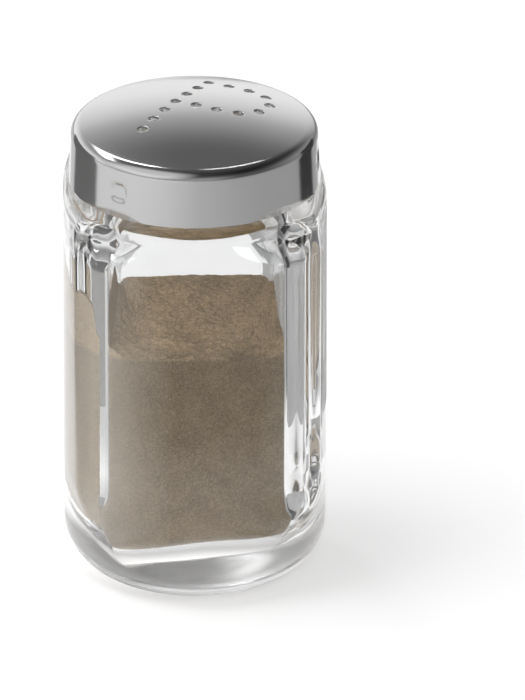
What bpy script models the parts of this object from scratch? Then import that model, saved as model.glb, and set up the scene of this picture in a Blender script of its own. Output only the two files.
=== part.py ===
"""A table pepper shaker: a pressed-glass jar, the pepper in it and its screw lid of pressed sheet steel.

The jar stands on the plane z = 0 with its axis on Z, and its four wide panels face +X, -X, +Y and -Y.
The front of the shaker is -Y. All sizes are real ones, in metres.
"""
import math

import bmesh
import bpy
from mathutils import Matrix, Vector

MM = 0.001

# The jar's outside: four bowed panels, four narrow facets across the corners, a round foot
JAR_WIDTH = 42.0 * MM
PANEL_BOW = 1.55 * MM
CORNER_FACET = 5.6 * MM
EDGE_BLEND = 0.8 * MM
HEEL_ROUND = 8.6 * MM
HEEL_FLARE_HEIGHT = 12.0 * MM
CONTACT_WIDTH = 1.5 * MM
PUSH_UP = 1.2 * MM
SHOULDER_HEIGHT = 66.7 * MM
SHOULDER_ROUND = 2.2 * MM

# The jar's inside
PANEL_WALL = 5.7 * MM
CAVITY_CORNER = 6.5 * MM
CAVITY_FLOOR = 5.6 * MM
CAVITY_FOOT = 5.0 * MM
SHOULDER_WALL = 2.7 * MM
CAVITY_ROOF = 4.0 * MM

# The neck and its three-start thread
NECK_SET_IN = 3.4 * MM
NECK_WALL = 3.4 * MM
NECK_FILLET = 0.5 * MM
LIP_ROUND = 0.8 * MM
THREAD_STARTS = 3
THREAD_RIB_RADIUS = 0.55 * MM
THREAD_RIB_STAND = 0.4 * MM
THREAD_LEAD = 2.0 * MM
THREAD_SWEEP = math.radians(72)
THREAD_LEAD_IN = math.radians(12)

# The lid, one piece of sheet steel
SHEET = 0.4 * MM
THREAD_TO_SKIRT = 0.75 * MM
SKIRT_FLARE = 0.3 * MM
SKIRT_HEIGHT = 7.58 * MM
LID_EDGE_ROUND = 2.0 * MM
DOME_RADIUS = 75.2 * MM
RIM_TO_SHOULDER = 0.4 * MM
LIP_SEAT_GAP = 0.3 * MM

# The lugs pressed into the skirt, which run under the thread's ribs
LUG_WIDTH = 4.6 * MM
LUG_HEIGHT = 3.7 * MM
LUG_TOP_RISE = 6.2 * MM
LUG_TO_NECK = 0.3 * MM
LUG_TO_RIB = 0.3 * MM
LUG_ROOT_SHARE = 0.75
FIRST_LUG_ANGLE = math.radians(-129.6)

# The shaking holes: a straight stem, and a loop that leaves its top and comes back to it
HOLE_DIAMETER = 1.7 * MM
HOLE_PITCH = 3.66 * MM
STEM_HOLES = 7
LOOP_HOLES = 8
LOOP_DEPTH_IN_PITCHES = 3
PATTERN_TURN = math.radians(-30.6)
STEM_OFFSET = 4.2 * MM
STEM_TOP = 12.6 * MM

# The pepper
PEPPER_LEVEL = 43.2 * MM
PEPPER_GAP = 0.3 * MM
PEPPER_RIPPLE = 0.5 * MM
PEPPER_SLOPE = 0.8 * MM
BROAD_HEAP_SHARE = 0.7
CROSS_HEAP_SHARE = 0.5
SMALL_HEAP_SHARE = 0.5

# One overrun serves every cut
CUT_OVERRUN = 2.0 * MM
WELD = 0.01 * MM

# How finely curved forms are divided
PANEL_STATION_SHARES = (0.0, 0.18, 0.36, 0.54, 0.71, 0.87)
FACET_STATION_SHARES = (0.25, 0.6)
EDGE_STATION_SHARE = 0.97
UNDERSIDE_RING_SHARES = (0.1, 0.4, 0.7, 0.88, 1.0)
PEPPER_TOP_SHARES = (1.0, 0.85, 0.68, 0.5, 0.32, 0.14)
PEPPER_BOTTOM_SHARE = 0.5
ROUND_STEPS = 5
HEEL_STEPS = 6
FLARE_STEPS = 5
LID_STEPS = 72
DOME_STEPS = 6
HOLE_SIDES = 14
RIB_POINTS = 13

# Sizes worked out from the ones above
HALF_WIDTH = JAR_WIDTH / 2
PANEL_END = HALF_WIDTH - PANEL_BOW
PANEL_HALF_CHORD = PANEL_END - CORNER_FACET / math.sqrt(2)
PANEL_RADIUS = (PANEL_HALF_CHORD ** 2 + PANEL_BOW ** 2) / (2 * PANEL_BOW)
FACET_DISTANCE = (PANEL_HALF_CHORD + PANEL_END) / math.sqrt(2)
CORNER_RADIUS = math.hypot(PANEL_HALF_CHORD, PANEL_END)
CAVITY_HALF = HALF_WIDTH - PANEL_WALL
NECK_RADIUS = HALF_WIDTH - NECK_SET_IN
BORE_RADIUS = NECK_RADIUS - NECK_WALL
ROOF_HEIGHT = SHOULDER_HEIGHT - SHOULDER_WALL
RIM_HEIGHT = SHOULDER_HEIGHT + RIM_TO_SHOULDER
RIB_CREST = NECK_RADIUS + THREAD_RIB_STAND + THREAD_RIB_RADIUS
SKIRT_TOP_RADIUS = RIB_CREST + THREAD_TO_SKIRT + SHEET
RIM_RADIUS = SKIRT_TOP_RADIUS + SKIRT_FLARE
EDGE_CENTRE_RADIUS = SKIRT_TOP_RADIUS - LID_EDGE_ROUND
EDGE_CENTRE_HEIGHT = RIM_HEIGHT + SKIRT_HEIGHT
DOME_MEETS_EDGE = math.acos(EDGE_CENTRE_RADIUS / (DOME_RADIUS - LID_EDGE_ROUND))
DOME_CENTRE_HEIGHT = EDGE_CENTRE_HEIGHT - (DOME_RADIUS - LID_EDGE_ROUND) * math.sin(DOME_MEETS_EDGE)
LUG_RECESS_TOP = RIM_HEIGHT + LUG_TOP_RISE
LUG_TOP = LUG_RECESS_TOP + SHEET
LUG_STEP = math.tau / THREAD_STARTS

QUARTER = math.pi / 2
EIGHTH = math.pi / 4


def soft_min(first, second, blend):
    """The smaller of two radii, eased over the named blend where they cross."""
    overlap = max(blend - abs(first - second), 0) / blend
    return min(first, second) - overlap ** 2 * blend / 4


def fold(angle):
    """The angle from the middle of the nearest panel, up to an eighth of a turn either way."""
    return abs((angle + EIGHTH) % QUARTER - EIGHTH)


def outline_radius(angle, inset):
    """The jar's outline in plan, set in evenly: a bowed panel, or the facet across the corner."""
    across = fold(angle)
    centre = HALF_WIDTH - PANEL_RADIUS
    bow = PANEL_RADIUS - inset
    panel = centre * math.cos(across) + math.sqrt(bow ** 2 - (centre * math.sin(across)) ** 2)
    facet = (FACET_DISTANCE - inset) / math.cos(across - EIGHTH)
    return soft_min(panel, facet, EDGE_BLEND)


def cavity_radius(angle, inset):
    """The cavity's outline in plan, set in evenly: a square with wide round corners."""
    across = fold(angle)
    half = CAVITY_HALF - inset
    corner = max(CAVITY_CORNER - inset, WELD)
    if half * math.tan(across) <= half - corner:
        return half / math.cos(across)
    centre = (half - corner) * math.sqrt(2)
    off = across - EIGHTH
    return centre * math.cos(off) + math.sqrt(corner ** 2 - (centre * math.sin(off)) ** 2)


def foot_radius(height):
    """The round foot's radius: the heel's arc, and above it a plain circle."""
    below = max(HEEL_ROUND - height, 0)
    return HALF_WIDTH - HEEL_ROUND + math.sqrt(HEEL_ROUND ** 2 - below ** 2)


def panel_share(height):
    """How far the plan has eased from the foot's circle to the panels and facets, from 0 to 1."""
    risen = min(max((height - HEEL_ROUND) / HEEL_FLARE_HEIGHT, 0), 1)
    return risen ** 2 * (3 - 2 * risen)


def stations():
    """The directions, a full turn of them, at which every ring of the jar has a point."""
    corner = math.atan2(PANEL_HALF_CHORD, PANEL_END)
    half = [corner * share for share in PANEL_STATION_SHARES]
    half.append(corner * EDGE_STATION_SHARE)
    half += [corner + (EIGHTH - corner) * share for share in FACET_STATION_SHARES]
    eighth = half + [EIGHTH]
    quarter = [-angle for angle in reversed(half[1:])] + eighth
    return [angle + QUARTER * turn for turn in range(4) for angle in quarter]


def arc(steps, start=0.0, end=QUARTER):
    """Angles spread evenly from start to end, both included."""
    return [start + (end - start) * step / steps for step in range(steps + 1)]


def add_object(name, mesh, collection, material=None):
    """A new object that holds the mesh."""
    new = bpy.data.objects.new(name, mesh)
    collection.objects.link(new)
    if material:
        mesh.materials.append(material)
    return new


def add_cutter(name, bm, collection):
    """A hidden object that cuts or joins, and isn't a part."""
    mesh = bpy.data.meshes.new(name)
    bm.to_mesh(mesh)
    bm.free()
    cutter = add_object(name, mesh, collection)
    cutter.hide_render = True
    cutter.display_type = "WIRE"
    return cutter


def add_boolean(target, tool, operation):
    """A Boolean modifier on the target."""
    modifier = target.modifiers.new(operation.title() + " " + tool.name, "BOOLEAN")
    modifier.operation = operation
    modifier.object = tool
    modifier.solver = "EXACT"


def loft(name, rings):
    """A closed mesh through rings of points, each joined to the next, with both end rings capped."""
    bm = bmesh.new()
    loops = [[bm.verts.new(point) for point in ring] for ring in rings]
    for lower, upper in zip(loops, loops[1:]):
        for i in range(len(lower)):
            bm.faces.new((lower[i - 1], lower[i], upper[i], upper[i - 1]))
    for end in (loops[0], loops[-1]):
        bm.faces.new(end)
    bmesh.ops.recalc_face_normals(bm, faces=bm.faces)
    mesh = bpy.data.meshes.new(name)
    bm.to_mesh(mesh)
    bm.free()
    mesh.shade_smooth()
    mesh.set_sharp_from_angle(angle=math.radians(40))
    return mesh


def ring(radius_at, height_at):
    """One ring of points from a radius and a height, each a function of the direction."""
    return [
        Vector((radius_at(angle) * math.cos(angle), radius_at(angle) * math.sin(angle), height_at(angle)))
        for angle in stations()
    ]


def round_ring(radius, height):
    """A circular ring at one height."""
    return ring(lambda angle: radius, lambda angle: height)


def underside_rings():
    """The push-up under the jar, from the middle out to the flat ring that the jar stands on."""
    reach = HALF_WIDTH - HEEL_ROUND - CONTACT_WIDTH
    return [round_ring(reach * share, PUSH_UP * (1 - share ** 2)) for share in UNDERSIDE_RING_SHARES]


def body_ring(height, inset):
    """A ring of the jar's outside: round at the foot, with panels and facets above it."""
    foot = foot_radius(height)
    share = panel_share(height)
    return ring(lambda angle: foot + (outline_radius(angle, inset) - foot) * share, lambda angle: height)


def outside_rings():
    """The heel, the flare, the panels and the shoulder."""
    rings = [round_ring(HALF_WIDTH - HEEL_ROUND, 0)]
    for angle in arc(HEEL_STEPS)[1:]:
        rings.append(body_ring(HEEL_ROUND * (1 - math.cos(angle)), 0))
    for step in range(1, FLARE_STEPS + 1):
        rings.append(body_ring(HEEL_ROUND + HEEL_FLARE_HEIGHT * step / FLARE_STEPS, 0))
    for angle in arc(ROUND_STEPS):
        height = SHOULDER_HEIGHT - SHOULDER_ROUND * (1 - math.sin(angle))
        rings.append(body_ring(height, SHOULDER_ROUND * (1 - math.cos(angle))))
    return rings


def lip_height():
    """The lip's top: its round edge stays the seat's gap under the lid's dome."""
    reach = DOME_RADIUS - SHEET - LIP_SEAT_GAP
    return DOME_CENTRE_HEIGHT + math.sqrt(reach ** 2 - (NECK_RADIUS - LIP_ROUND) ** 2)


def neck_rings():
    """The neck's outside, its round lip and its bore."""
    top = lip_height()
    rings = [round_ring(NECK_RADIUS + NECK_FILLET, SHOULDER_HEIGHT)]
    rings.append(round_ring(NECK_RADIUS, SHOULDER_HEIGHT + NECK_FILLET))
    for angle in arc(ROUND_STEPS):
        radius = NECK_RADIUS - LIP_ROUND * (1 - math.cos(angle))
        rings.append(round_ring(radius, top - LIP_ROUND * (1 - math.sin(angle))))
    for angle in arc(ROUND_STEPS):
        radius = BORE_RADIUS + LIP_ROUND * (1 - math.sin(angle))
        rings.append(round_ring(radius, top - LIP_ROUND * (1 - math.cos(angle))))
    return rings


def roof_ring(angle):
    """A ring of the cavity's rounded roof, between the bore and the cavity's wall."""
    spread = math.sin(angle)
    height = ROOF_HEIGHT - CAVITY_ROOF * (1 - math.cos(angle))
    return ring(
        lambda turn: BORE_RADIUS + (cavity_radius(turn, 0) - BORE_RADIUS) * spread,
        lambda turn: height,
    )


def foot_rings(gap, steps):
    """The cavity's wall foot and floor edge, from the wall down, set in by the gap."""
    rings = []
    for angle in arc(steps):
        inset = CAVITY_FOOT * (1 - math.cos(angle)) + gap
        height = CAVITY_FLOOR + gap + CAVITY_FOOT * (1 - math.sin(angle))
        rings.append(ring(lambda turn: cavity_radius(turn, inset), lambda turn: height))
    return rings


def rib_route(start):
    """The middle line of one thread rib: it climbs as it turns and sinks into the neck at both ends."""
    low = LUG_TOP + LUG_TO_RIB + THREAD_RIB_RADIUS
    points = []
    for step in range(RIB_POINTS):
        turned = THREAD_SWEEP * step / (RIB_POINTS - 1) - THREAD_LEAD_IN
        from_end = min(turned + THREAD_LEAD_IN, THREAD_SWEEP - THREAD_LEAD_IN - turned) / THREAD_LEAD_IN
        sunk = (THREAD_RIB_STAND + THREAD_RIB_RADIUS) * max(1 - from_end, 0) ** 2
        radius = NECK_RADIUS + THREAD_RIB_STAND - sunk
        height = low + THREAD_LEAD * turned / math.tau
        angle = start + turned
        points.append(Vector((radius * math.cos(angle), radius * math.sin(angle), height)))
    return points


def add_thread(collection):
    """The ribs of the thread, as one tool that is joined to the neck."""
    bm = bmesh.new()
    for start in range(THREAD_STARTS):
        curve = bpy.data.curves.new("Rib", "CURVE")
        curve.dimensions = "3D"
        curve.bevel_depth = THREAD_RIB_RADIUS
        curve.bevel_resolution = 2
        curve.use_fill_caps = True
        route = rib_route(FIRST_LUG_ANGLE + LUG_STEP * start)
        spline = curve.splines.new("POLY")
        spline.points.add(len(route) - 1)
        for point, place in zip(spline.points, route):
            point.co = (*place, 1)
        holder = bpy.data.objects.new("Rib", curve)
        collection.objects.link(holder)
        depsgraph = bpy.context.evaluated_depsgraph_get()
        mesh = bpy.data.meshes.new_from_object(holder.evaluated_get(depsgraph))
        bm.from_mesh(mesh)
        bpy.data.meshes.remove(mesh)
        bpy.data.objects.remove(holder)
        bpy.data.curves.remove(curve)
    bmesh.ops.remove_doubles(bm, verts=bm.verts, dist=WELD)
    bmesh.ops.recalc_face_normals(bm, faces=bm.faces)
    return add_cutter("Thread ribs", bm, collection)


def add_jar(parts, tools, material):
    """The glass jar, lofted from the round foot to the panels, the round neck and down the cavity."""
    rings = underside_rings() + outside_rings() + neck_rings()
    rings += [roof_ring(angle) for angle in arc(ROUND_STEPS)]
    rings += foot_rings(0, ROUND_STEPS)
    jar = add_object("glass_jar", loft("glass_jar", rings), parts, material)
    add_boolean(jar, add_thread(tools), "UNION")
    return jar


def pepper_height(x, y):
    """The settled surface of the pepper: a gentle slope with shallow heaps in it."""
    wave = math.tau / CAVITY_HALF
    broad = math.cos(x * wave * BROAD_HEAP_SHARE) * math.cos(y * wave * CROSS_HEAP_SHARE)
    small = math.sin((x - y) * wave) * SMALL_HEAP_SHARE
    return PEPPER_LEVEL + PEPPER_RIPPLE * (broad + small) - PEPPER_SLOPE * y / CAVITY_HALF


def add_pepper(parts, material):
    """The ground pepper, which fills the cavity up to its level."""
    gap = PEPPER_GAP
    rings = [ring(lambda turn: cavity_radius(turn, CAVITY_FOOT + gap) * PEPPER_BOTTOM_SHARE,
                  lambda turn: CAVITY_FLOOR + gap)]
    rings += reversed(foot_rings(gap, ROUND_STEPS))
    for share in PEPPER_TOP_SHARES:
        level = ring(lambda turn: cavity_radius(turn, gap) * share, lambda turn: 0)
        for point in level:
            point.z = pepper_height(point.x, point.y)
        rings.append(level)
    return add_object("ground_pepper", loft("ground_pepper", rings), parts, material)


def lid_profile():
    """The lid's outer skin in section, from the middle of the dome down to the rim."""
    points = []
    for angle in arc(DOME_STEPS, QUARTER, DOME_MEETS_EDGE):
        points.append((DOME_RADIUS * math.cos(angle), DOME_CENTRE_HEIGHT + DOME_RADIUS * math.sin(angle)))
    for angle in arc(ROUND_STEPS, DOME_MEETS_EDGE, 0)[1:]:
        radius = EDGE_CENTRE_RADIUS + LID_EDGE_ROUND * math.cos(angle)
        points.append((radius, EDGE_CENTRE_HEIGHT + LID_EDGE_ROUND * math.sin(angle)))
    points.append((RIM_RADIUS, RIM_HEIGHT))
    points[0] = (0, points[0][1])
    return points


def lug_lobes(grow, depth, back, collection, name):
    """One lobe for each lug: half an egg shape, flat on top, that reaches inwards from the skirt."""
    lean = math.atan2(SKIRT_FLARE, SKIRT_HEIGHT)
    skirt_radius = RIM_RADIUS - SKIRT_FLARE * LUG_TOP_RISE / SKIRT_HEIGHT
    bm = bmesh.new()
    for start in range(THREAD_STARTS):
        lobe = bmesh.new()
        bmesh.ops.create_uvsphere(lobe, u_segments=20, v_segments=12, radius=1)
        sizes = Vector((depth + grow, LUG_WIDTH / 2 + grow, LUG_HEIGHT + grow))
        bmesh.ops.scale(lobe, vec=sizes, verts=lobe.verts)
        keep_below = {"plane_co": (0, 0, 0), "plane_no": (0, 0, 1)}
        keep_inside = {"plane_co": (back, 0, 0), "plane_no": (1, 0, 0)}
        for plane in (keep_below, keep_inside):
            everything = lobe.verts[:] + lobe.edges[:] + lobe.faces[:]
            cut = bmesh.ops.bisect_plane(lobe, geom=everything, dist=WELD, clear_outer=True, **plane)
            rim = [item for item in cut["geom_cut"] if isinstance(item, bmesh.types.BMEdge)]
            bmesh.ops.contextual_create(lobe, geom=rim)
        place = Matrix.Rotation(FIRST_LUG_ANGLE + LUG_STEP * start, 4, "Z")
        place @= Matrix.Translation((skirt_radius, 0, LUG_RECESS_TOP + grow)) @ Matrix.Rotation(lean, 4, "Y")
        bmesh.ops.transform(lobe, matrix=place, verts=lobe.verts)
        mesh = bpy.data.meshes.new("Lobe")
        lobe.to_mesh(mesh)
        lobe.free()
        bm.from_mesh(mesh)
        bpy.data.meshes.remove(mesh)
    bmesh.ops.recalc_face_normals(bm, faces=bm.faces)
    return add_cutter(name, bm, collection)


def hole_places():
    """The holes' centres in plan, at one pitch along the stem and along the loop."""
    bend = HOLE_PITCH * LOOP_DEPTH_IN_PITCHES / 2
    length = HOLE_PITCH * (LOOP_HOLES + 1)
    straight = (length - math.pi * bend) / 2
    places = [Vector((-STEM_OFFSET, STEM_TOP - HOLE_PITCH * step)) for step in range(STEM_HOLES)]
    for step in range(1, LOOP_HOLES + 1):
        along = HOLE_PITCH * step
        turned = min(max((along - straight) / bend, 0), math.pi)
        run = min(along, straight) - max(along - straight - math.pi * bend, 0)
        out = run + bend * math.sin(turned)
        down = bend * (1 - math.cos(turned))
        places.append(Vector((-STEM_OFFSET + out, STEM_TOP - down)))
    turn = Matrix.Rotation(PATTERN_TURN, 2)
    return [turn @ place for place in places]


def add_hole_cutter(collection):
    """A punch for every shaking hole."""
    top = DOME_CENTRE_HEIGHT + DOME_RADIUS + CUT_OVERRUN
    depth = top - EDGE_CENTRE_HEIGHT
    bm = bmesh.new()
    for place in hole_places():
        middle = Matrix.Translation((place.x, place.y, top - depth / 2))
        radius = HOLE_DIAMETER / 2
        bmesh.ops.create_cone(
            bm, cap_ends=True, segments=HOLE_SIDES, radius1=radius, radius2=radius, depth=depth, matrix=middle
        )
    return add_cutter("Hole punches", bm, collection)


def add_lid(parts, tools, material):
    """The lid: a turned skin given the sheet's thickness, with its lugs pressed in and its holes punched."""
    profile = lid_profile()
    mesh = bpy.data.meshes.new("shaker_lid")
    edges = [(i, i + 1) for i in range(len(profile) - 1)]
    mesh.from_pydata([(radius, 0, height) for radius, height in profile], edges, [])
    lid = add_object("shaker_lid", mesh, parts, material)
    screw = lid.modifiers.new("Turn", "SCREW")
    screw.axis = "Z"
    screw.angle = math.tau
    screw.steps = LID_STEPS
    screw.render_steps = LID_STEPS
    screw.use_merge_vertices = True
    screw.merge_threshold = WELD
    screw.use_smooth_shade = True
    sheet = lid.modifiers.new("Sheet", "SOLIDIFY")
    sheet.thickness = SHEET
    sheet.offset = -1
    sheet.use_even_offset = True
    press = SKIRT_TOP_RADIUS - SHEET - NECK_RADIUS - LUG_TO_NECK
    add_boolean(lid, lug_lobes(SHEET, press, -SHEET * LUG_ROOT_SHARE, tools, "Lug backs"), "UNION")
    add_boolean(lid, lug_lobes(0, press, CUT_OVERRUN, tools, "Lug recesses"), "DIFFERENCE")
    add_boolean(lid, add_hole_cutter(tools), "DIFFERENCE")
    return lid


def add_material(name, colour, roughness, metallic=0.0, transmission=0.0):
    """A plain Principled material."""
    material = bpy.data.materials.new(name)
    material.use_nodes = True
    shader = material.node_tree.nodes["Principled BSDF"]
    shader.inputs["Base Color"].default_value = (*colour, 1)
    shader.inputs["Roughness"].default_value = roughness
    shader.inputs["Metallic"].default_value = metallic
    shader.inputs["Transmission Weight"].default_value = transmission
    return material


def clear_scene():
    """Remove whatever the scene holds."""
    for old in list(bpy.data.objects):
        bpy.data.objects.remove(old)


clear_scene()
shaker = bpy.data.collections.new("Pepper shaker")
cutters = bpy.data.collections.new("Cutters")
bpy.context.scene.collection.children.link(shaker)
bpy.context.scene.collection.children.link(cutters)

add_jar(shaker, cutters, add_material("Clear glass", (0.95, 0.97, 0.97), 0.02, transmission=1.0))
add_lid(shaker, cutters, add_material("Stainless steel", (0.62, 0.62, 0.62), 0.2, metallic=1.0))
add_pepper(shaker, add_material("Ground pepper", (0.23, 0.17, 0.12), 0.95))
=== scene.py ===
"""The looks of a table pepper shaker: a clear pressed-glass jar, the ground pepper in it and its steel lid.

The sections follow the shaker as it is put together: the jar, the pepper that fills it, the lid that closes
it, and then the white sheet it stands on, with the lamps and cards around it. Lengths are in metres, and the
front is -Y.
"""
import math

import bpy
import numpy as np
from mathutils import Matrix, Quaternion, Vector


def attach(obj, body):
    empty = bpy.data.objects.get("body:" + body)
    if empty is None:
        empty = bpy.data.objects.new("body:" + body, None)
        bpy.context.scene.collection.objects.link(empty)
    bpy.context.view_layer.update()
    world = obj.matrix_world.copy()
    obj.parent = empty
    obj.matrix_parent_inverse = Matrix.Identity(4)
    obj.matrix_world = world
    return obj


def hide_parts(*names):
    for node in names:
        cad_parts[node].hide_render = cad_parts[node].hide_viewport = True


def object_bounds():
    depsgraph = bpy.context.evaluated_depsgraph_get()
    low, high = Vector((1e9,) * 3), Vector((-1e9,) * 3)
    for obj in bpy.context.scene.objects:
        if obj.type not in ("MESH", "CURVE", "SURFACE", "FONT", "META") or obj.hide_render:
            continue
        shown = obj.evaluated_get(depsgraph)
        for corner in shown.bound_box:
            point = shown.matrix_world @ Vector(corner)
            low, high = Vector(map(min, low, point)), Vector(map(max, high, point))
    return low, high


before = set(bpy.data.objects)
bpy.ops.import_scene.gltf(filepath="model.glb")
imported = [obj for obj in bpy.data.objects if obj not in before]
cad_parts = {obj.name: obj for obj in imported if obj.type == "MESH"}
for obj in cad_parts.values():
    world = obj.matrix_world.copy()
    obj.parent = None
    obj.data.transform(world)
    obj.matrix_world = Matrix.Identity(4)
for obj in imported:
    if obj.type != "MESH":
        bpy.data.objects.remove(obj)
cad_low, cad_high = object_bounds()
MM = 0.001

# The glass jar. Thick clear glass from a mould: four bowed panels, flat facets across the corners, and a
# round foot and neck. The hollow was blown in while the glass was hot, so it sits a little to one side. The
# outer skin is faintly uneven, which bends the light, and the mould left the ring that it stands on frosted.
JAR_HALF_WIDTH = 21.0 * MM
PANEL_BOW = 1.55 * MM
CORNER_FACET = 5.6 * MM
EDGE_BLEND = 0.8 * MM
HEEL_ROUND = 8.6 * MM
FLARE_HEIGHT = 12.0 * MM
CONTACT_WIDTH = 1.5 * MM
PUSH_UP = 1.2 * MM
SHOULDER_HEIGHT = 66.7 * MM
SHOULDER_ROUND = 2.2 * MM
NECK_RADIUS = 17.6 * MM
BORE_RADIUS = 14.2 * MM
NECK_FILLET = 0.6 * MM
LIP_ROUND = 0.8 * MM
LIP_UNDER_DOME = 0.3 * MM
DOME_RADIUS = 75.2 * MM
SHEET = 0.4 * MM
BORE_BELOW_SHOULDER = 0.5 * MM
INNER_SHOULDER_POWER = 0.8
HOLLOW_HALF_WIDTH = 15.3 * MM
HOLLOW_CORNER_DISTANCE = 19.25 * MM
HOLLOW_BLEND = 3.0 * MM
HOLLOW_OFFSET = -0.2 * MM
HOLLOW_FLOOR = 5.6 * MM
HOLLOW_FOOT = 8.5 * MM
HOLLOW_TILT = 1.8 * MM
HOLLOW_TOP = 57.5 * MM
TILT_REACH = 2.5 * HOLLOW_FOOT
THREAD_STARTS = 3
RIB_RADIUS = 0.55 * MM
RIB_STAND = 0.4 * MM
RIB_LOW = 74.55 * MM
RIB_MARGIN = 0.8 * MM
THREAD_LEAD = 2.0 * MM
THREAD_SWEEP = math.radians(72)
THREAD_LEAD_IN = math.radians(12)
FIRST_LUG_ANGLE = math.radians(-129.6)
# The size of the unevenness, how long its waves are in millimetres, how many there are, and their seed
GLASS_WAVES = (0.022 * MM, 12.0, 24, 7)
WAVE_UPRIGHT_SHARE = 0.25
WAVE_LOW = 8 * MM
WAVE_LOW_FADE = 10 * MM
WAVE_HIGH = 58 * MM
WAVE_HIGH_FADE = 6 * MM
FROSTED_BELOW = 2.4 * MM
CLEAR_ABOVE = 3.4 * MM
FROST = 0.4
# Two places in the glass's cloudy pattern, and its colour at each: a shade greyer first, and then clearer
GLASS_TINTS = ((0.3, (0.915, 0.922, 0.922)), (0.7, (0.945, 0.948, 0.948)))
GLASS_IOR = 1.5
TURN_SAMPLES = 7201
INNERMOST_RING = 0.04
JAR_COLUMNS = 416
EDGE_CROWDING = 6.0
EDGE_SPREAD = math.radians(1.8)

PANEL_END = JAR_HALF_WIDTH - PANEL_BOW
PANEL_HALF_CHORD = PANEL_END - CORNER_FACET / math.sqrt(2)
PANEL_RADIUS = (PANEL_HALF_CHORD ** 2 + PANEL_BOW ** 2) / (2 * PANEL_BOW)
FACET_DISTANCE = (PANEL_HALF_CHORD + PANEL_END) / math.sqrt(2)
EDGE_ANGLE = math.atan2(PANEL_HALF_CHORD, PANEL_END)
LID_TOP = cad_high.z


def fold(angle):
    """The angle from the nearest panel's middle: the remainder in a quarter turn, with its sign dropped."""
    quarter = math.pi / 2
    return np.abs((angle + quarter / 2) % quarter - quarter / 2)


def soft_least(first, second, blend):
    """The lesser of two radii, lowered by a parabola where they are less than the blend apart."""
    overlap = np.maximum(blend - np.abs(first - second), 0) / blend
    return np.minimum(first, second) - overlap ** 2 * blend / 4


def panels_and_facets(angle, inset):
    """The jar's plan: the lesser of an arc of the panel's radius and the straight line of the facet."""
    across = fold(angle)
    centre = JAR_HALF_WIDTH - PANEL_RADIUS
    panel = centre * np.cos(across) + np.sqrt((PANEL_RADIUS - inset) ** 2 - (centre * np.sin(across)) ** 2)
    facet = (FACET_DISTANCE - inset) / np.cos(across - math.pi / 4)
    return soft_least(panel, facet, EDGE_BLEND)


def hollow_plan(angle, inset):
    """The hollow's plan: the lesser of a straight side and a flat across the corner, rounded into it."""
    across = fold(angle)
    side = (HOLLOW_HALF_WIDTH - inset) / np.cos(across)
    flat = (HOLLOW_CORNER_DISTANCE - inset) / np.cos(across - math.pi / 4)
    return soft_least(side, flat, HOLLOW_BLEND)


def ease(share):
    """A smooth step from 0 to 1: three times the square less twice the cube."""
    held = np.clip(share, 0, 1)
    return held ** 2 * (3 - 2 * held)


def crowded_turn(columns, crowding, spread, marks):
    """Directions for one full turn, closer near the marks: even steps of a density with humps in it."""
    fine = np.linspace(0, math.tau, TURN_SAMPLES)
    away = np.abs((fine[:, None] - np.array(marks)[None] + math.pi) % math.tau - math.pi).min(axis=1)
    total = np.cumsum(1 + crowding * np.exp(-(away / spread) ** 2))
    total = (total - total[0]) / (total[-1] - total[0])
    return np.interp(np.arange(columns) / columns, total, fine)


def waviness(points, size, reach, count, seed):
    """Smooth unevenness: a sum of sine waves in random directions, each about the given reach long."""
    random = np.random.default_rng(seed)
    waves = random.normal(size=(count, 3))
    lengths = np.linalg.norm(waves, axis=1)[:, None]
    waves *= (math.tau / reach) * random.uniform(0.5, 1.4, (count, 1)) / lengths
    phases = random.uniform(0, math.tau, count)
    return size * np.sin(points @ waves.T + phases).sum(axis=-1) / math.sqrt(count)


def closed_skin(name, rings, first, last):
    """A closed mesh through rows of rings: quads between neighbours, and a fan to a point at each end."""
    rows, columns = rings.shape[:2]
    index = np.arange(rows * columns).reshape(rows, columns)
    beside = np.roll(index, -1, axis=1)
    quads = np.stack([index[:-1], beside[:-1], beside[1:], index[1:]], -1).reshape(-1, 4)
    start = np.full(columns, rows * columns)
    fans = [np.stack([start, beside[0], index[0]], -1), np.stack([start + 1, index[-1], beside[-1]], -1)]
    points = np.concatenate([rings.reshape(-1, 3), [first], [last]])
    mesh = bpy.data.meshes.new(name)
    mesh.from_pydata(points.tolist(), [], quads.tolist() + np.concatenate(fans).tolist())
    mesh.shade_smooth()
    return mesh


def add_piece(name, mesh, material, body, node):
    """The mesh as a piece that rides on its body and stands for its CAD node."""
    piece = bpy.data.objects.new(name, mesh)
    bpy.context.scene.collection.objects.link(piece)
    mesh.materials.clear()
    mesh.materials.append(material)
    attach(piece, body)
    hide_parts(node)
    return piece


def spaced(start, end, count):
    """Evenly spaced values, without the last, so that runs join end to end."""
    return np.linspace(start, end, count, endpoint=False)


def neck_with_ribs(angle, height):
    """The neck's radius: a cylinder, raised to a half-round rib where the height is within a rib's radius."""
    radius = np.full(angle.shape, NECK_RADIUS)
    for start in range(THREAD_STARTS):
        turned = (angle - FIRST_LUG_ANGLE - start * math.tau / THREAD_STARTS + THREAD_LEAD_IN) % math.tau
        low = np.minimum(turned, THREAD_SWEEP - turned) / THREAD_LEAD_IN
        sunk = (RIB_STAND + RIB_RADIUS) * np.maximum(1 - low, 0) ** 2
        middle = RIB_LOW + THREAD_LEAD * (turned - THREAD_LEAD_IN) / math.tau
        bulge = np.sqrt(np.maximum(RIB_RADIUS ** 2 - (height - middle) ** 2, 0))
        rib = np.where((bulge > 0) & (low > 0), NECK_RADIUS + RIB_STAND - sunk + bulge, 0)
        radius = np.maximum(radius, rib)
    return radius


edges = [panel * math.pi / 2 + side * EDGE_ANGLE for panel in range(4) for side in (-1, 1)]
turn = crowded_turn(JAR_COLUMNS, EDGE_CROWDING, EDGE_SPREAD, edges)
outline = panels_and_facets(turn, 0)

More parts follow.
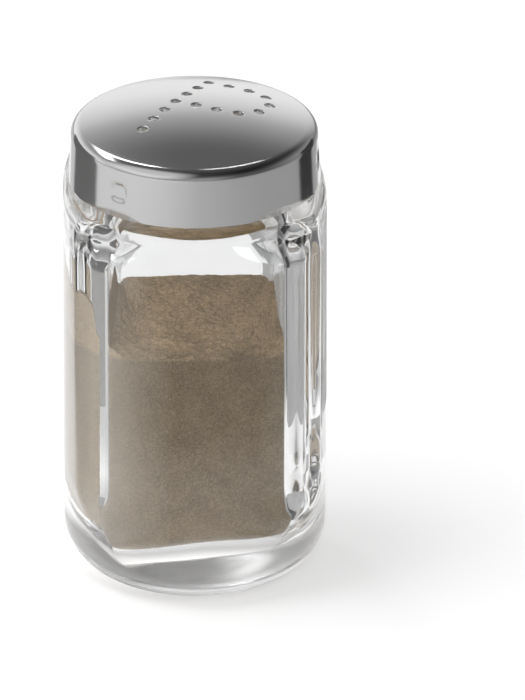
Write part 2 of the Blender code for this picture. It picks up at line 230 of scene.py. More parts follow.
# Each run is the radius in every direction and the height, from the middle of the underside to the lip, and
# the count that ends its steps is its number of rings
runs = []
reach = JAR_HALF_WIDTH - HEEL_ROUND - CONTACT_WIDTH
under = spaced(INNERMOST_RING, 1, 12)[:, None]
runs.append((reach * under + 0 * turn, PUSH_UP * (1 - under ** 2)))
flat = np.linspace(0, 1, 3)[:, None]
runs.append((reach + CONTACT_WIDTH * flat + 0 * turn, 0 * flat))
heel = np.linspace(0, math.pi / 2, 29)[1:, None]
runs.append((JAR_HALF_WIDTH - HEEL_ROUND * (1 - np.sin(heel)) + 0 * turn, HEEL_ROUND * (1 - np.cos(heel))))
rise = np.linspace(0, 1, 27)[1:, None]
runs.append((JAR_HALF_WIDTH + (outline - JAR_HALF_WIDTH) * ease(rise), HEEL_ROUND + FLARE_HEIGHT * rise))
wall = np.linspace(HEEL_ROUND + FLARE_HEIGHT, SHOULDER_HEIGHT - SHOULDER_ROUND, 25)[1:, None]
runs.append((outline + 0 * wall, wall))
bend = np.linspace(0, math.pi / 2, 13)[1:, None]
shoulder = panels_and_facets(turn, SHOULDER_ROUND * (1 - np.cos(bend)))
runs.append((shoulder, SHOULDER_HEIGHT - SHOULDER_ROUND * (1 - np.sin(bend))))
deck = np.linspace(0, 1, 5)[1:-1, None]
neck_foot = NECK_RADIUS + NECK_FILLET
runs.append((shoulder[-1] + (neck_foot - shoulder[-1]) * deck, SHOULDER_HEIGHT + 0 * deck))
hollow = np.linspace(0, math.pi / 2, 6)[:, None]
fillet = neck_foot - NECK_FILLET * np.sin(hollow)
runs.append((fillet + 0 * turn, SHOULDER_HEIGHT + NECK_FILLET * (1 - np.cos(hollow))))
lip_reach = DOME_RADIUS - SHEET - LIP_UNDER_DOME
lip_top = LID_TOP - DOME_RADIUS + math.sqrt(lip_reach ** 2 - (NECK_RADIUS - LIP_ROUND) ** 2)
ribs = np.linspace(RIB_LOW - RIB_MARGIN, lip_top - LIP_ROUND, 24)[:, None]
runs.append((neck_with_ribs(turn + 0 * ribs, ribs), ribs))
lip = np.linspace(0, math.pi / 2, 7)[1:, None]
lip_out, lip_in = 1 - np.cos(lip), 1 - np.sin(lip)
runs.append((NECK_RADIUS - LIP_ROUND * lip_out + 0 * turn, lip_top - LIP_ROUND * lip_in))
runs.append((BORE_RADIUS + LIP_ROUND * lip_in + 0 * turn, lip_top - LIP_ROUND * lip_out))
outer_count = sum(len(radius) for radius, height in runs)

# The inside, from the bore down: the inner shoulder eases out to the hollow's wall, and the foot rounds in
bore = np.linspace(lip_top - 2 * LIP_ROUND, SHOULDER_HEIGHT - BORE_BELOW_SHOULDER, 5)[:, None]
runs.append((BORE_RADIUS + 0 * turn + 0 * bore, bore))
inner = hollow_plan(turn, 0)
share = np.linspace(0, 1, 22)[1:, None]
widening = BORE_RADIUS + (inner - BORE_RADIUS) * ease(share ** INNER_SHOULDER_POWER)
runs.append((widening, bore[-1] + (HOLLOW_TOP - bore[-1]) * share))
down = np.linspace(HOLLOW_TOP, HOLLOW_FLOOR + HOLLOW_FOOT, 27)[1:, None]
runs.append((inner + 0 * down, down))
foot = np.linspace(0, math.pi / 2, 21)[1:, None]
foot_plan = hollow_plan(turn, HOLLOW_FOOT * (1 - np.cos(foot)))
runs.append((foot_plan, HOLLOW_FLOOR + HOLLOW_FOOT * (1 - np.sin(foot))))
floor = np.linspace(1, INNERMOST_RING, 9)[1:, None]
runs.append((foot_plan[-1] * floor, HOLLOW_FLOOR + 0 * floor))

radius = np.concatenate([r + 0 * turn for r, h in runs])
height = np.concatenate([h + 0 * turn for r, h in runs])
skin = np.stack([radius * np.cos(turn), radius * np.sin(turn), height], -1)
inside = np.arange(len(skin)) >= outer_count


def hollow_shift(points):
    """Where the hollow really is: set over to one side below the neck, and its floor tilted."""
    moved = points.copy()
    depth = (SHOULDER_HEIGHT - points[..., 2]) / (SHOULDER_HEIGHT - HOLLOW_TOP)
    moved[..., 0] += HOLLOW_OFFSET * ease(depth)
    low = 1 - ease((points[..., 2] - HOLLOW_FLOOR) / TILT_REACH)
    moved[..., 2] += HOLLOW_TILT * low * points[..., 0] / HOLLOW_HALF_WIDTH
    return moved


skin[inside] = hollow_shift(skin[inside])
swell = waviness(skin / MM * (1, 1, WAVE_UPRIGHT_SHARE), *GLASS_WAVES)
up_from_heel = ease((skin[..., 2] - WAVE_LOW) / WAVE_LOW_FADE)
down_from_shoulder = 1 - ease((skin[..., 2] - WAVE_HIGH) / WAVE_HIGH_FADE)
uneven = np.where(inside[:, None], 0, up_from_heel * down_from_shoulder)
outward = skin[..., :2] / np.maximum(np.linalg.norm(skin[..., :2], axis=-1, keepdims=True), MM)
skin[..., :2] -= outward * (np.abs(swell) * uneven)[..., None]
jar_mesh = closed_skin("glass_jar_clear", skin, (0, 0, PUSH_UP), (HOLLOW_OFFSET, 0, HOLLOW_FLOOR))


def node_maker(tree):
    """A helper for one node tree, which adds a node and sets or links its inputs by their names."""
    def add(kind, **inputs):
        node = tree.nodes.new(kind)
        for key, value in inputs.items():
            socket = node.inputs[key.replace("_", " ")]
            if isinstance(value, bpy.types.NodeSocket):
                tree.links.new(value, socket)
            else:
                socket.default_value = value
        return node

    return add


def new_material(name):
    """A material with its Principled shader, a helper that adds and sets a node, and its tree's links."""
    material = bpy.data.materials.new(name)
    material.use_nodes = True
    tree = material.node_tree
    return material, tree.nodes["Principled BSDF"], node_maker(tree), tree.links


def set_stops(node, stops):
    """Gives a colour ramp its stops, each a place from 0 to 1 and a colour, or one number for a grey."""
    elements = node.color_ramp.elements
    while len(elements) < len(stops):
        elements.new(0.5)
    for element, (position, colour) in zip(elements, stops):
        element.position = position
        element.color = (*(colour if isinstance(colour, tuple) else (colour,) * 3), 1)


def fade(add, value, start, end, low, high):
    """A node that runs evenly from the low result to the high one, as the value goes from start to end."""
    node = add("ShaderNodeMapRange", Value=value, From_Min=start, From_Max=end, To_Min=low, To_Max=high)
    return node.outputs["Result"]


glass, shader, add, links = new_material("clear_pressed_glass")
place = add("ShaderNodeTexCoord").outputs["Object"]
cloud = add("ShaderNodeTexNoise", Vector=place, Scale=90.0, Detail=2.0)
tint = add("ShaderNodeValToRGB", Fac=cloud.outputs["Fac"])
set_stops(tint, GLASS_TINTS)
links.new(tint.outputs["Color"], shader.inputs["Base Color"])
apart = add("ShaderNodeSeparateXYZ", Vector=place)
links.new(fade(add, apart.outputs["Z"], FROSTED_BELOW, CLEAR_ABOVE, FROST, 0.0), shader.inputs["Roughness"])
shader.inputs["IOR"].default_value = GLASS_IOR
shader.inputs["Transmission Weight"].default_value = 1.0
add_piece("glass_jar_clear", jar_mesh, glass, "jar", "glass_jar")

# The ground pepper. Dry peppercorns, coarsely ground and poured in, fill the hollow to about two thirds.
# Their top is rough, with heaps against the side walls, and their dust clings to the left wall. Painted light
# makes their left side and their top paler; a film of air lies between them and the rest of the glass.
PEPPER_LEVEL = 43.8 * MM
PEPPER_SLOPE = 0.04
# Each heap's rise, where its middle is along the wall, and its spread
SIDE_HEAPS = ((4.0 * MM, 2.0 * MM, 6.5 * MM), (1.3 * MM, -11.0 * MM, 5.0 * MM))
SIDE_HEAP_REACH = 3.4 * MM
FILM_RISE = 7.5 * MM
FILM_THICKNESS = 0.5 * MM
FILM_SHOULDER = math.radians(5)
PEPPER_GAP = 0.06 * MM
CLING = 0.03 * MM
CLING_MIDDLE = math.radians(193.75)
CLING_HALF_ANGLE = math.radians(30.25)
CLING_LOW = 13.5 * MM
CLING_SIDE_FADE = math.radians(2)
CLING_LOW_FADE = 2 * MM
SIDE_BELOW_TOP = 2 * MM
PEPPER_COLUMNS = 352
# The size of each unevenness, the length of its waves in millimetres, how many there are, and their seed
LUMPS = ((0.22 * MM, 7.0, 18, 3), (0.16 * MM, 1.9, 60, 4), (0.08 * MM, 0.9, 60, 5))
FILM_WAVES = (0.06, 4.0, 20, 6)
CLOSE_RINGS_TO = 0.96
LAST_TOP_RING = 0.02
GRAIN_COLOURS = ((0.0, (0.200, 0.137, 0.076)), (0.5, (0.390, 0.283, 0.165)), (1.0, (0.620, 0.473, 0.297)))
DRIFT_COLOURS = ((0.35, (0.290, 0.207, 0.120)), (0.65, (0.500, 0.372, 0.230)))
DRIFT_SHARE = 0.35
# The pale colour of the painted light on the pepper's left side
PAINTED_LEFT_LIGHT_COLOUR = (0.80, 0.73, 0.64)
# Each fade's start and end, and what it gives there: the first and last across the pepper, the second up it.
# All
# three are painted light: the first and last make the left side paler, and the second makes the top paler.
PAINTED_LIGHT_AT_LEFT = (-14 * MM, -3 * MM, 1.25, 0.93)
PAINTED_LIGHT_ON_TOP = (42.6 * MM, 43.6 * MM, 1.0, 2.05)
PAINTED_LEFT_LIGHT_COAT = (-15 * MM, -4 * MM, 0.72, 0.0)


def pepper_top(x, y):
    """The pepper's top: a slope, plus bell-shaped heaps against the side walls and three sizes of lump."""
    points = np.stack([x, y, 0 * x], -1) / MM
    lumps = sum(waviness(points, *lump) for lump in LUMPS)
    heap = sum(rise * np.exp(-((y - middle) / spread) ** 2) for rise, middle, spread in SIDE_HEAPS)
    heap = heap * np.exp(-((HOLLOW_HALF_WIDTH - np.abs(x)) / SIDE_HEAP_REACH) ** 2)
    return PEPPER_LEVEL + PEPPER_SLOPE * y + heap + lumps


pepper_turn = np.arange(PEPPER_COLUMNS) * math.tau / PEPPER_COLUMNS
off_cling = np.abs((pepper_turn - CLING_MIDDLE + math.pi) % math.tau - math.pi)
clinging = ease((CLING_HALF_ANGLE - off_cling) / CLING_SIDE_FADE)
side_runs = []
base = np.linspace(INNERMOST_RING, 1, 9)[:-1, None]
pepper_foot = np.linspace(math.pi / 2, 0, 21)[:, None]
foot_plan = hollow_plan(pepper_turn, HOLLOW_FOOT * (1 - np.cos(pepper_foot)) + PEPPER_GAP)
side_runs.append((foot_plan[0] * base, HOLLOW_FLOOR + PEPPER_GAP + 0 * base))
side_runs.append((foot_plan, HOLLOW_FLOOR + PEPPER_GAP + HOLLOW_FOOT * (1 - np.sin(pepper_foot))))
up = np.linspace(HOLLOW_FLOOR + HOLLOW_FOOT + PEPPER_GAP, PEPPER_LEVEL - SIDE_BELOW_TOP, 60)[1:, None]
gap = PEPPER_GAP - (PEPPER_GAP + CLING) * clinging * ease((up - CLING_LOW) / CLING_LOW_FADE)
side_plans = hollow_plan(pepper_turn, gap)
side_runs.append((side_plans, up))
side_plan = side_plans[-1]
radius = np.concatenate([r + 0 * pepper_turn for r, h in side_runs])
height = np.concatenate([h + 0 * pepper_turn for r, h in side_runs])
sides = hollow_shift(np.stack([radius * np.cos(pepper_turn), radius * np.sin(pepper_turn), height], -1))
further_in = np.linspace(CLOSE_RINGS_TO, LAST_TOP_RING, 124)
inward = np.concatenate([spaced(1, CLOSE_RINGS_TO, 8), further_in])[:, None]
top_x = side_plan * np.cos(pepper_turn) * inward
top_y = side_plan * np.sin(pepper_turn) * inward
along_wall = ease((CLING_HALF_ANGLE - off_cling) / FILM_SHOULDER)
off_wall = (1 - inward) * side_plan
film = along_wall * ease(1 - off_wall / FILM_THICKNESS)
film = film * (1 + waviness(np.stack([top_x, top_y, 0 * top_x], -1) / MM, *FILM_WAVES))
top_height = pepper_top(top_x, top_y) + FILM_RISE * film
top = hollow_shift(np.stack([top_x, top_y, top_height], -1))
climb = spaced(0, 1, 10)[1:, None]
wall_height = up[-1] + (top_height[0] - up[-1]) * climb
film_wall = hollow_shift(np.stack([top_x[0] + 0 * climb, top_y[0] + 0 * climb, wall_height], -1))
middle = hollow_shift(np.array([[0, 0, pepper_top(np.zeros(1), np.zeros(1))[0]]]))[0]
lowest = (HOLLOW_OFFSET, 0, HOLLOW_FLOOR + PEPPER_GAP)
pepper_mesh = closed_skin("pepper_fill", np.concatenate([sides, film_wall, top]), lowest, middle)


def mixed(add, share, first, second):
    """A node that mixes two colours, either of which may be a node's output, by the share of the second."""
    node = add("ShaderNodeMix", Factor=share)
    node.data_type = "RGBA"
    # Its inputs 6 and 7 and its output 2 are the ones for colours
    for socket, colour in ((node.inputs[6], first), (node.inputs[7], second)):
        if isinstance(colour, bpy.types.NodeSocket):
            node.id_data.links.new(colour, socket)
        else:
            socket.default_value = (*colour, 1)
    return node.outputs[2]


def reckoned(add, operation, first, second):
    """A node that works out one number from two others, such as their product or the greater of them."""
    node = add("ShaderNodeMath")
    node.operation = operation
    node.id_data.links.new(first, node.inputs[0])
    node.id_data.links.new(second, node.inputs[1])
    return node.outputs[0]


pepper, shader, add, links = new_material("ground_black_pepper")
place = add("ShaderNodeTexCoord").outputs["Object"]
cells = add("ShaderNodeTexVoronoi", Vector=place, Scale=4200.0)
tone = add("ShaderNodeValToRGB", Fac=cells.outputs["Color"])
set_stops(tone, GRAIN_COLOURS)
drift = add("ShaderNodeTexNoise", Vector=place, Scale=260.0, Detail=4.0)
drift_tone = add("ShaderNodeValToRGB", Fac=drift.outputs["Fac"])
set_stops(drift_tone, DRIFT_COLOURS)
shade = mixed(add, DRIFT_SHARE, tone.outputs["Color"], drift_tone.outputs["Color"])
apart = add("ShaderNodeSeparateXYZ", Vector=place)
# Painted light: paler towards the left side, where more light falls
painted_light_at_left = fade(add, apart.outputs["X"], *PAINTED_LIGHT_AT_LEFT)
# Painted light: paler on the top, as if lit from above
painted_light_on_top = fade(add, apart.outputs["Z"], *PAINTED_LIGHT_ON_TOP)
lit = add("ShaderNodeVectorMath")
lit.operation = "SCALE"
links.new(shade, lit.inputs[0])
links.new(reckoned(add, "MULTIPLY", painted_light_at_left, painted_light_on_top), lit.inputs["Scale"])
# Painted light: a pale colour mixed in towards the left side
painted_left_light = fade(add, apart.outputs["X"], *PAINTED_LEFT_LIGHT_COAT)
links.new(mixed(add, painted_left_light, lit.outputs[0], PAINTED_LEFT_LIGHT_COLOUR), shader.inputs["Base Color"])
shader.inputs["Roughness"].default_value = 0.95
shader.inputs["Specular IOR Level"].default_value = 0.2
bump = add("ShaderNodeBump", Strength=0.5, Distance=0.15 * MM, Height=cells.outputs["Distance"])
links.new(bump.outputs["Normal"], shader.inputs["Normal"])
add_piece("pepper_fill", pepper_mesh, pepper, "jar", "ground_pepper")

# The lid. One disc of stainless sheet, pressed into a shallow dome with an upright skirt and then polished.
# Three lugs are pressed in through the skirt, which catch under the ribs of the thread, and the shaking holes
# are punched from outside, so that their upper edges are drawn in a little.
RIM_HEIGHT = 67.1 * MM
RIM_RADIUS = 20.0 * MM
SKIRT_TOP_RADIUS = 19.7 * MM
SKIRT_HEIGHT = 7.58 * MM
LID_EDGE_ROUND = 2.0 * MM
LUG_HALF_WIDTH = 2.1 * MM
LUG_HALF_HEIGHT = 2.0 * MM
LUG_DEPTH = 0.3 * MM
LUG_MIDDLE = 71.4 * MM
LUG_SQUARENESS = 3.0
LUG_RIM_SHARE = 0.6
LUG_CROWDING = 3.0
LUG_SPREAD = math.radians(7)
HOLE_RADIUS = 0.85 * MM
HOLE_DRAW = 0.16 * MM
DRAWN_TO = math.radians(80)
PUNCH_SIDES = 40
PUNCH_CLEARANCE = 0.05 * MM
HOLE_PITCH = 3.66 * MM
STEM_HOLES = 7
LOOP_HOLES = 8
LOOP_DEPTH_IN_PITCHES = 3
PATTERN_TURN = math.radians(-30.6)
STEM_OFFSET = 4.2 * MM
STEM_TOP = 12.6 * MM
LID_COLUMNS = 336
FIRST_DOME_RING = 0.012
STEEL_GREY = 0.74
STEEL_HAZE = (0.10, 0.17)
SHARPEST_SMOOTH = math.radians(50)

edge_centre_radius = SKIRT_TOP_RADIUS - LID_EDGE_ROUND
edge_centre_height = RIM_HEIGHT + SKIRT_HEIGHT
dome_centre = edge_centre_height - math.sqrt((DOME_RADIUS - LID_EDGE_ROUND) ** 2 - edge_centre_radius ** 2)
dome_meets = math.asin(edge_centre_radius / (DOME_RADIUS - LID_EDGE_ROUND))
lug_angles = [FIRST_LUG_ANGLE + start * math.tau / THREAD_STARTS for start in range(THREAD_STARTS)]
lid_turn = crowded_turn(LID_COLUMNS, LUG_CROWDING, LUG_SPREAD, lug_angles)


def lug_depth(angle, height, grow):
    """How far the lugs are pressed in: a flat floor that eases up to the skirt at a rounded square's edge."""
    depth = np.zeros(np.broadcast(angle, height).shape)
    up = np.abs(height - LUG_MIDDLE) / (LUG_HALF_HEIGHT + grow)
    for lug in lug_angles:
        away = np.abs((angle - lug + math.pi) % math.tau - math.pi)
        side = away * SKIRT_TOP_RADIUS / (LUG_HALF_WIDTH + grow)
        edge = 1 - (side ** LUG_SQUARENESS + up ** LUG_SQUARENESS) ** (1 / LUG_SQUARENESS)
        depth = np.maximum(depth, LUG_DEPTH * ease(edge / LUG_RIM_SHARE))
    return depth


def lid_skin(thickness):
    """One skin of the lid, an arc, a round edge and a cone to the rim, set in by the thickness."""
    tilt = np.linspace(FIRST_DOME_RING, dome_meets, 46)[:, None]
    dome = DOME_RADIUS - thickness
    rows = [(dome * np.sin(tilt), dome_centre + dome * np.cos(tilt))]
    tilt = np.linspace(dome_meets, math.pi / 2, 15)[1:, None]
    edge = LID_EDGE_ROUND - thickness
    rows.append((edge_centre_radius + edge * np.sin(tilt), edge_centre_height + edge * np.cos(tilt)))
    lug_low = LUG_MIDDLE - LUG_HALF_HEIGHT - SHEET
    heights = np.concatenate([
        spaced(edge_centre_height, LUG_MIDDLE + LUG_HALF_HEIGHT + SHEET, 4)[1:],
        spaced(LUG_MIDDLE + LUG_HALF_HEIGHT + SHEET, lug_low, 40),
        np.linspace(lug_low, RIM_HEIGHT, 6),
    ])[:, None]
    taper = (SKIRT_TOP_RADIUS - RIM_RADIUS) * (heights - RIM_HEIGHT) / SKIRT_HEIGHT
    rows.append((RIM_RADIUS - thickness + taper, heights))
    radius = np.concatenate([r + 0 * lid_turn for r, h in rows])
    height = np.concatenate([h + 0 * lid_turn for r, h in rows])
    on_skirt = np.arange(len(radius))[:, None] >= len(rows[0][0]) + len(rows[1][0])
    radius = radius - np.where(on_skirt, lug_depth(lid_turn, height, thickness), 0)
    return np.stack([radius * np.cos(lid_turn), radius * np.sin(lid_turn), height], -1)


outer = lid_skin(0)
inner_skin = lid_skin(SHEET)[::-1]
apex = dome_centre + DOME_RADIUS
both_skins = np.concatenate([outer, inner_skin])[::-1]
lid_mesh = closed_skin("lid_blank", both_skins, (0, 0, apex - SHEET), (0, 0, apex))


def hole_places():
    """The holes in plan: even steps down a straight stem, and along a loop from its top and back to it."""
    bend = HOLE_PITCH * LOOP_DEPTH_IN_PITCHES / 2
    straight = (HOLE_PITCH * (LOOP_HOLES + 1) - math.pi * bend) / 2
    stem = np.stack([np.full(STEM_HOLES, -STEM_OFFSET), STEM_TOP - HOLE_PITCH * np.arange(STEM_HOLES)], -1)
    along = HOLE_PITCH * np.arange(1, LOOP_HOLES + 1)
    turned = np.clip((along - straight) / bend, 0, math.pi)
    run = np.minimum(along, straight) - np.maximum(along - straight - math.pi * bend, 0)
    loop = np.stack([run + bend * np.sin(turned) - STEM_OFFSET, STEM_TOP - bend * (1 - np.cos(turned))], -1)
    places = np.concatenate([stem, loop])
    c, s = math.cos(PATTERN_TURN), math.sin(PATTERN_TURN)
    return places @ np.array([[c, s], [-s, c]])


def punch_mesh():
    """Every punch: a turned profile with a flare where it leaves the sheet's outside, square to the dome."""
    curve = np.linspace(0, DRAWN_TO, 6)
    profile = [(HOLE_RADIUS, -2 * SHEET)]
    profile += [(HOLE_RADIUS + HOLE_DRAW * (1 - math.cos(a)), HOLE_DRAW * (math.sin(a) - 1)) for a in curve]
    profile.append((profile[-1][0] + PUNCH_CLEARANCE, SHEET))
    profile = np.array(profile)
    around = spaced(0, math.tau, PUNCH_SIDES)
    points, faces = [], []
    for x, y in hole_places():
        out = np.array([x, y, math.sqrt(DOME_RADIUS ** 2 - x ** 2 - y ** 2)]) / DOME_RADIUS
        right = np.cross((0, 1, 0), out)
        right /= np.linalg.norm(right)
        up = np.cross(out, right)
        spot = out * DOME_RADIUS + np.array([0, 0, dome_centre])
        ring = np.cos(around)[:, None] * right + np.sin(around)[:, None] * up
        rings = spot + profile[:, :1, None] * ring + profile[:, 1:, None] * out
        index = np.arange(len(profile) * PUNCH_SIDES).reshape(len(profile), PUNCH_SIDES)
        index += len(points) * index.size
        beside = np.roll(index, -1, axis=1)
        faces += np.stack([index[:-1], beside[:-1], beside[1:], index[1:]], -1).reshape(-1, 4).tolist()
        faces += [index[0][::-1].tolist(), index[-1].tolist()]
        points.append(rings.reshape(-1, 3))
    mesh = bpy.data.meshes.new("punches")
    mesh.from_pydata(np.concatenate(points).tolist(), [], faces)
    return mesh


blank = bpy.data.objects.new("lid_blank", lid_mesh)
punches = bpy.data.objects.new("punches", punch_mesh())
for helper in (blank, punches):
    bpy.context.scene.collection.objects.link(helper)
punching = blank.modifiers.new("Punched holes", "BOOLEAN")
punching.operation = "DIFFERENCE"
punching.solver = "EXACT"
punching.object = punches
bpy.context.view_layer.update()
punched = bpy.data.meshes.new_from_object(blank.evaluated_get(bpy.context.evaluated_depsgraph_get()))
punched.name = "lid_steel"
for helper in (blank, punches):
    bpy.data.objects.remove(helper)
punched.shade_smooth()
punched.set_sharp_from_angle(angle=SHARPEST_SMOOTH)

steel, shader, add, links = new_material("polished_stainless_steel")
place = add("ShaderNodeTexCoord").outputs["Object"]
shader.inputs["Metallic"].default_value = 1.0
shader.inputs["Base Color"].default_value = (STEEL_GREY, STEEL_GREY, STEEL_GREY, 1)
haze = add("ShaderNodeTexNoise", Vector=place, Scale=120.0, Detail=5.0)
links.new(fade(add, haze.outputs["Fac"], 0.0, 1.0, *STEEL_HAZE), shader.inputs["Roughness"])
add_piece("lid_steel", punched, steel, "lid", "shaker_lid")

# The camera, the table and the light, which aren't part of the shaker: a white sheet on a grey table, a room
# that is bright low down and behind and dark overhead, five soft lamps, and grey cards that show only in the
# steel and the glass.
AZIMUTH = math.radians(-2.1)
ELEVATION = math.radians(24.7)
DISTANCE = 2.5
SENSOR = 36
PIXELS_PER_METRE = 6260
FRAME_HEIGHT = 700
PIXELS_RIGHT = 67.6
PIXELS_DOWN = 18.8
MIDDLE = Vector((0, 0, 40 * MM))

camera_data = bpy.data.cameras.new("camera")
camera = bpy.data.objects.new("camera", camera_data)
bpy.context.scene.collection.objects.link(camera)
bpy.context.scene.camera = camera
back = Vector((
    math.sin(AZIMUTH) * math.cos(ELEVATION),
    -math.cos(AZIMUTH) * math.cos(ELEVATION),
    math.sin(ELEVATION),
))
right = Vector((math.cos(AZIMUTH), math.sin(AZIMUTH), 0))
up = back.cross(right)
aim = MIDDLE + right * (PIXELS_RIGHT / PIXELS_PER_METRE) - up * (PIXELS_DOWN / PIXELS_PER_METRE)
camera.location = MIDDLE + back * DISTANCE
camera.rotation_euler = (camera.location - aim).to_track_quat("Z", "Y").to_euler()
camera_data.sensor_width = SENSOR
camera_data.lens = SENSOR * PIXELS_PER_METRE * DISTANCE / FRAME_HEIGHT
camera_data.clip_start = 0.1
camera_data.clip_end = 100

TABLE_REACH = 8.0
TABLE_BELOW_FOOT = 0.1 * MM
SHEET_EDGES = (("X", -0.080, -0.050), ("X", 0.100, 0.075), ("Y", -0.090, -0.062))
SHEET_COLOUR = (0.56, 0.56, 0.56)
SHEET_GLOW = 0.53
TABLE_HALF = 0.17
TABLE_GREYS = ((0.0, 0.70), (0.25, 0.62), (0.5, 0.50), (0.75, 0.46), (1.0, 0.41))
LIT_THROUGH_GLASS = (-3 * MM, 3 * MM, 0)
GATHERED_LIGHT = (6 * MM, 17 * MM, 0.9, 0.0)
table_mesh = bpy.data.meshes.new("table")
corners = [(x * TABLE_REACH, y * TABLE_REACH, 0) for x, y in ((-1, -1), (1, -1), (1, 1), (-1, 1))]
table_mesh.from_pydata(corners, [], [(0, 1, 2, 3)])
table = bpy.data.objects.new("table", table_mesh)
bpy.context.scene.collection.objects.link(table)
table.location.z = -TABLE_BELOW_FOOT
white, shader, add, links = new_material("white_sheet_on_grey_table")
place = add("ShaderNodeTexCoord").outputs["Object"]
apart = add("ShaderNodeSeparateXYZ", Vector=place)
sheet = None
for axis, outside, within in SHEET_EDGES:
    side = add("ShaderNodeMapRange", Value=apart.outputs[axis], From_Min=outside, From_Max=within)
    side.interpolation_type = "SMOOTHSTEP"
    side = side.outputs["Result"]
    sheet = reckoned(add, "MULTIPLY", sheet, side) if sheet else side
grey = add("ShaderNodeValToRGB", Fac=fade(add, apart.outputs["X"], -TABLE_HALF, TABLE_HALF, 0.0, 1.0))
set_stops(grey, TABLE_GREYS)
links.new(mixed(add, sheet, grey.outputs["Color"], SHEET_COLOUR), shader.inputs["Base Color"])
shader.inputs["Roughness"].default_value = 0.8
shader.inputs["Specular IOR Level"].default_value = 0.0

# The sheet looks white to the camera, and in the steel and the glass. Under the jar a painted pool of light
# makes it
# brighter still: a glow that stands for the light which the thick base gathers there.
rays = add("ShaderNodeLightPath")
seen = rays.outputs["Is Camera Ray"]
for kind in ("Is Glossy Ray", "Is Transmission Ray"):
    seen = reckoned(add, "MAXIMUM", seen, rays.outputs[kind])
white_sheet = fade(add, reckoned(add, "MULTIPLY", seen, sheet), 0.0, 1.0, 0.0, SHEET_GLOW)
away = add("ShaderNodeVectorMath")
away.operation = "DISTANCE"
links.new(place, away.inputs[0])
away.inputs[1].default_value = LIT_THROUGH_GLASS
# Painted light: the glow in the sheet under the jar
gathered = fade(add, away.outputs["Value"], *GATHERED_LIGHT)
under_jar = reckoned(add, "MULTIPLY", gathered, seen)
links.new(reckoned(add, "ADD", white_sheet, under_jar), shader.inputs["Emission Strength"])
shader.inputs["Emission Color"].default_value = (1, 1, 1, 1)
table_mesh.materials.append(white)

# The room's greys, from level and below to straight up, and then a paler pane high at the front left
ROOM = ((0.0, 1.0), (0.2, 1.0), (0.35, 0.80), (0.42, 0.62), (0.47, 0.46), (0.56, 0.30), (0.62, 0.19),
        (0.68, 0.125), (1.0, 0.11))
BRIGHTER_BEHIND = (-0.4, 0.3, 0.35, 1.0)
DARKER_AT_RIGHT = (0.2, 0.6, 1.0, 0.3)
PANE_GLOW = (0.76, 0.93, 0.0, 0.75)
PANE_TOWARDS = Vector((-0.62, -0.5, 0.6)).normalized()
world = bpy.data.worlds.new("room")
bpy.context.scene.world = world
world.use_nodes = True
nodes, links = world.node_tree.nodes, world.node_tree.links
add = node_maker(world.node_tree)
place = add("ShaderNodeTexCoord").outputs["Generated"]
split = add("ShaderNodeSeparateXYZ", Vector=place)
ramp = add("ShaderNodeValToRGB", Fac=split.outputs["Z"])
set_stops(ramp, ROOM)
links.new(ramp.outputs["Color"], nodes["Background"].inputs["Color"])
brighter_behind = fade(add, split.outputs["Y"], *BRIGHTER_BEHIND)
darker_at_right = fade(add, split.outputs["X"], *DARKER_AT_RIGHT)
links.new(reckoned(add, "MULTIPLY", brighter_behind, darker_at_right), nodes["Background"].inputs["Strength"])
towards = add("ShaderNodeVectorMath")
towards.operation = "DOT_PRODUCT"
links.new(place, towards.inputs[0])
towards.inputs[1].default_value = PANE_TOWARDS
pane = add("ShaderNodeBackground", Strength=fade(add, towards.outputs["Value"], *PANE_GLOW))
room = add("ShaderNodeAddShader")
links.new(nodes["Background"].outputs[0], room.inputs[0])
links.new(pane.outputs[0], room.inputs[1])
links.new(room.outputs[0], nodes["World Output"].inputs["Surface"])

LAMPS_FACE_HEIGHT = 70 * MM


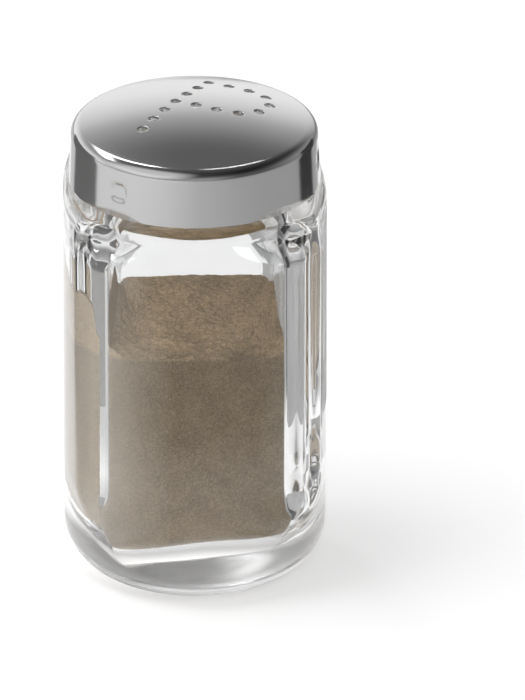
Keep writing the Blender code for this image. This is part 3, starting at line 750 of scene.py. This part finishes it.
def add_lamp(name, azimuth, elevation, distance, size, power, roll=0, mirrored=True):
    """A soft rectangular lamp that faces the shaker; the azimuth counts from straight behind to the right."""
    data = bpy.data.lights.new(name, "AREA")
    data.shape = "RECTANGLE"
    data.size, data.size_y = size
    data.energy = power
    lamp = bpy.data.objects.new(name, data)
    turned, tilted = math.radians(azimuth), math.radians(elevation)
    flat = math.cos(tilted) * distance
    height = LAMPS_FACE_HEIGHT + math.sin(tilted) * distance
    lamp.location = (math.sin(turned) * flat, math.cos(turned) * flat, height)
    facing = (lamp.location - Vector((0, 0, LAMPS_FACE_HEIGHT))).to_track_quat("Z", "Y")
    lamp.rotation_euler = (facing @ Quaternion((0, 0, 1), math.radians(roll))).to_euler()
    lamp.visible_glossy = mirrored
    bpy.context.scene.collection.objects.link(lamp)


add_lamp("left_softbox", -47, 45, 1.2, (0.92, 0.21), 1.5)
add_lamp("left_strip_lamp", -23, 53, 1.2, (0.10, 0.36), 0.9, 19)
add_lamp("right_strip_lamp", 22, 61, 1.2, (0.05, 0.36), 0.3, -30)
add_lamp("left_fill", -105, 62, 1.3, (0.9, 0.9), 10.5, mirrored=False)
add_lamp("front_fill", 165, 40, 1.6, (0.9, 0.7), 8.0, mirrored=False)


def add_card(name, corners, heights, level):
    """An upright grey card between two corners and two heights, which only the steel and the glass show."""
    mesh = bpy.data.meshes.new(name)
    points = [(x, y, height) for height in heights for x, y in corners]
    mesh.from_pydata(points, [], [(0, 1, 3, 2)])
    card = bpy.data.objects.new(name, mesh)
    bpy.context.scene.collection.objects.link(card)
    material, shader, add, links = new_material(name)
    shader.inputs["Base Color"].default_value = (level, level, level, 1)
    shader.inputs["Roughness"].default_value = 1.0
    shader.inputs["Specular IOR Level"].default_value = 0.0
    mesh.materials.append(material)
    card.visible_camera = False
    card.visible_shadow = False
    card.visible_diffuse = False


LEFT_CORNERS = ((-0.088, 0.006), (-0.062, 0.062))
add_card("left_card", LEFT_CORNERS, (0.032, 0.09), 0.34)
add_card("left_pale_card", LEFT_CORNERS, (0.0, 0.032), 0.75)
add_card("right_card", ((0.073, 0.051), (0.086, 0.015)), (0.0, 0.09), 0.05)
add_card("right_grey_card", ((0.024, 0.062), (0.072, 0.026)), (0.0, 0.04), 0.6)

# The render's colours stay plain, and light may bend and mirror more often than is usual, because it crosses
# the glass many times before it leaves
bpy.context.scene.view_settings.view_transform = "Standard"
bpy.context.scene.cycles.max_bounces = 32
bpy.context.scene.cycles.transmission_bounces = 32
bpy.context.scene.cycles.glossy_bounces = 12
